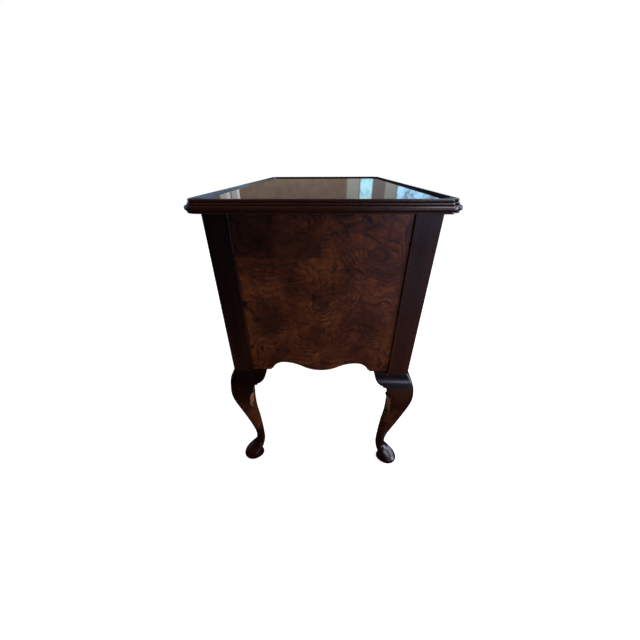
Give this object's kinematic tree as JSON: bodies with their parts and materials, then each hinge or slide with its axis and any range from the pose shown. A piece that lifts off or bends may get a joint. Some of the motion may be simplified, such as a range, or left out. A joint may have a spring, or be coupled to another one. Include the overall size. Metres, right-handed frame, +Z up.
{
  "type": "lowboy",
  "caption": "Low walnut chest on cabriole legs with a glass-covered moulded top, burl veneered end panels, a long drawer over small ones, and brass bail handles.",
  "frame": {"origin": "on the floor under the middle of the case", "axes": "+X along the length towards the right end, +Y towards the plain back, +Z up; the drawers face -Y"},
  "size_m": [0.884, 0.486, 0.762],
  "materials": {
    "walnut": "dark polished walnut",
    "burl_veneer": "polished burl walnut veneer",
    "pine": "plain planed softwood",
    "brass": "aged polished brass",
    "steel": "plain steel",
    "plate_glass": "clear polished plate glass"
  },
  "bodies": {
    "case": {"back_panel": "pine", "drawer_guides": "pine", "drawer_partitions": "pine", "drawer_stops": "pine", "front_apron": "burl_veneer", "glass_top": "plate_glass", "glue_blocks": "pine", "knee_brackets_front_left": "walnut", "knee_brackets_front_right": "walnut", "knee_brackets_rear_left": "walnut", "knee_brackets_rear_right": "walnut", "leg_dowels": "pine", "leg_front_left": "walnut", "leg_front_right": "walnut", "leg_rear_left": "walnut", "leg_rear_right": "walnut", "long_drawer_kickers": "pine", "long_drawer_runners": "pine", "middle_rail": "walnut", "post_front_left": "walnut", "post_front_right": "walnut", "post_rear_left": "walnut", "post_rear_right": "walnut", "rear_rail": "pine", "side_panel_left": "burl_veneer", "side_panel_right": "burl_veneer", "small_drawer_runners": "pine", "top_board": "burl_veneer", "top_moulding_back": "walnut", "top_moulding_front": "walnut", "top_moulding_left": "walnut", "top_moulding_right": "walnut", "top_rail": "walnut", "top_screws": "steel"},
    "long_drawer": {"long_drawer_back": "pine", "long_drawer_bottom": "pine", "long_drawer_front": "burl_veneer", "long_drawer_handle_mounts": "brass", "long_drawer_sides": "pine"},
    "left_drawer": {"left_drawer_back": "pine", "left_drawer_bottom": "pine", "left_drawer_front": "burl_veneer", "left_drawer_handle_mounts": "brass", "left_drawer_sides": "pine"},
    "centre_drawer": {"centre_drawer_back": "pine", "centre_drawer_bottom": "pine", "centre_drawer_front": "burl_veneer", "centre_drawer_handle_mounts": "brass", "centre_drawer_sides": "pine"},
    "right_drawer": {"right_drawer_back": "pine", "right_drawer_bottom": "pine", "right_drawer_front": "burl_veneer", "right_drawer_handle_mounts": "brass", "right_drawer_sides": "pine"},
    "long_drawer_left_bail_swing": {"long_drawer_bail_left": "brass"},
    "long_drawer_right_bail_swing": {"long_drawer_bail_right": "brass"},
    "left_drawer_bail_swing": {"left_drawer_bail": "brass"},
    "centre_drawer_bail_swing": {"centre_drawer_bail": "brass"},
    "right_drawer_bail_swing": {"right_drawer_bail": "brass"}
  },
  "joints": [
    {"name": "long_drawer_slide", "type": "slide", "parent": "case", "child": "long_drawer", "axis": [0, -1, 0], "range_m": [0, 0.29]},
    {"name": "left_drawer_slide", "type": "slide", "parent": "case", "child": "left_drawer", "axis": [0, -1, 0], "range_m": [0, 0.29]},
    {"name": "centre_drawer_slide", "type": "slide", "parent": "case", "child": "centre_drawer", "axis": [0, -1, 0], "range_m": [0, 0.29]},
    {"name": "right_drawer_slide", "type": "slide", "parent": "case", "child": "right_drawer", "axis": [0, -1, 0], "range_m": [0, 0.29]},
    {"name": "long_drawer_bail_left_hinge", "type": "hinge", "parent": "long_drawer", "child": "long_drawer_left_bail_swing", "pos_m": [-0.22, -0.2266, 0.6704], "axis": [-1, 0, 0], "range_deg": [-10, 95]},
    {"name": "long_drawer_bail_right_hinge", "type": "hinge", "parent": "long_drawer", "child": "long_drawer_right_bail_swing", "pos_m": [0.22, -0.2266, 0.6704], "axis": [-1, 0, 0], "range_deg": [-10, 95]},
    {"name": "left_drawer_bail_hinge", "type": "hinge", "parent": "left_drawer", "child": "left_drawer_bail_swing", "pos_m": [-0.247, -0.2266, 0.5244], "axis": [-1, 0, 0], "range_deg": [-10, 95]},
    {"name": "centre_drawer_bail_hinge", "type": "hinge", "parent": "centre_drawer", "child": "centre_drawer_bail_swing", "pos_m": [0, -0.2266, 0.5544], "axis": [-1, 0, 0], "range_deg": [-10, 95]},
    {"name": "right_drawer_bail_hinge", "type": "hinge", "parent": "right_drawer", "child": "right_drawer_bail_swing", "pos_m": [0.247, -0.2266, 0.5244], "axis": [-1, 0, 0], "range_deg": [-10, 95]}
  ]
}
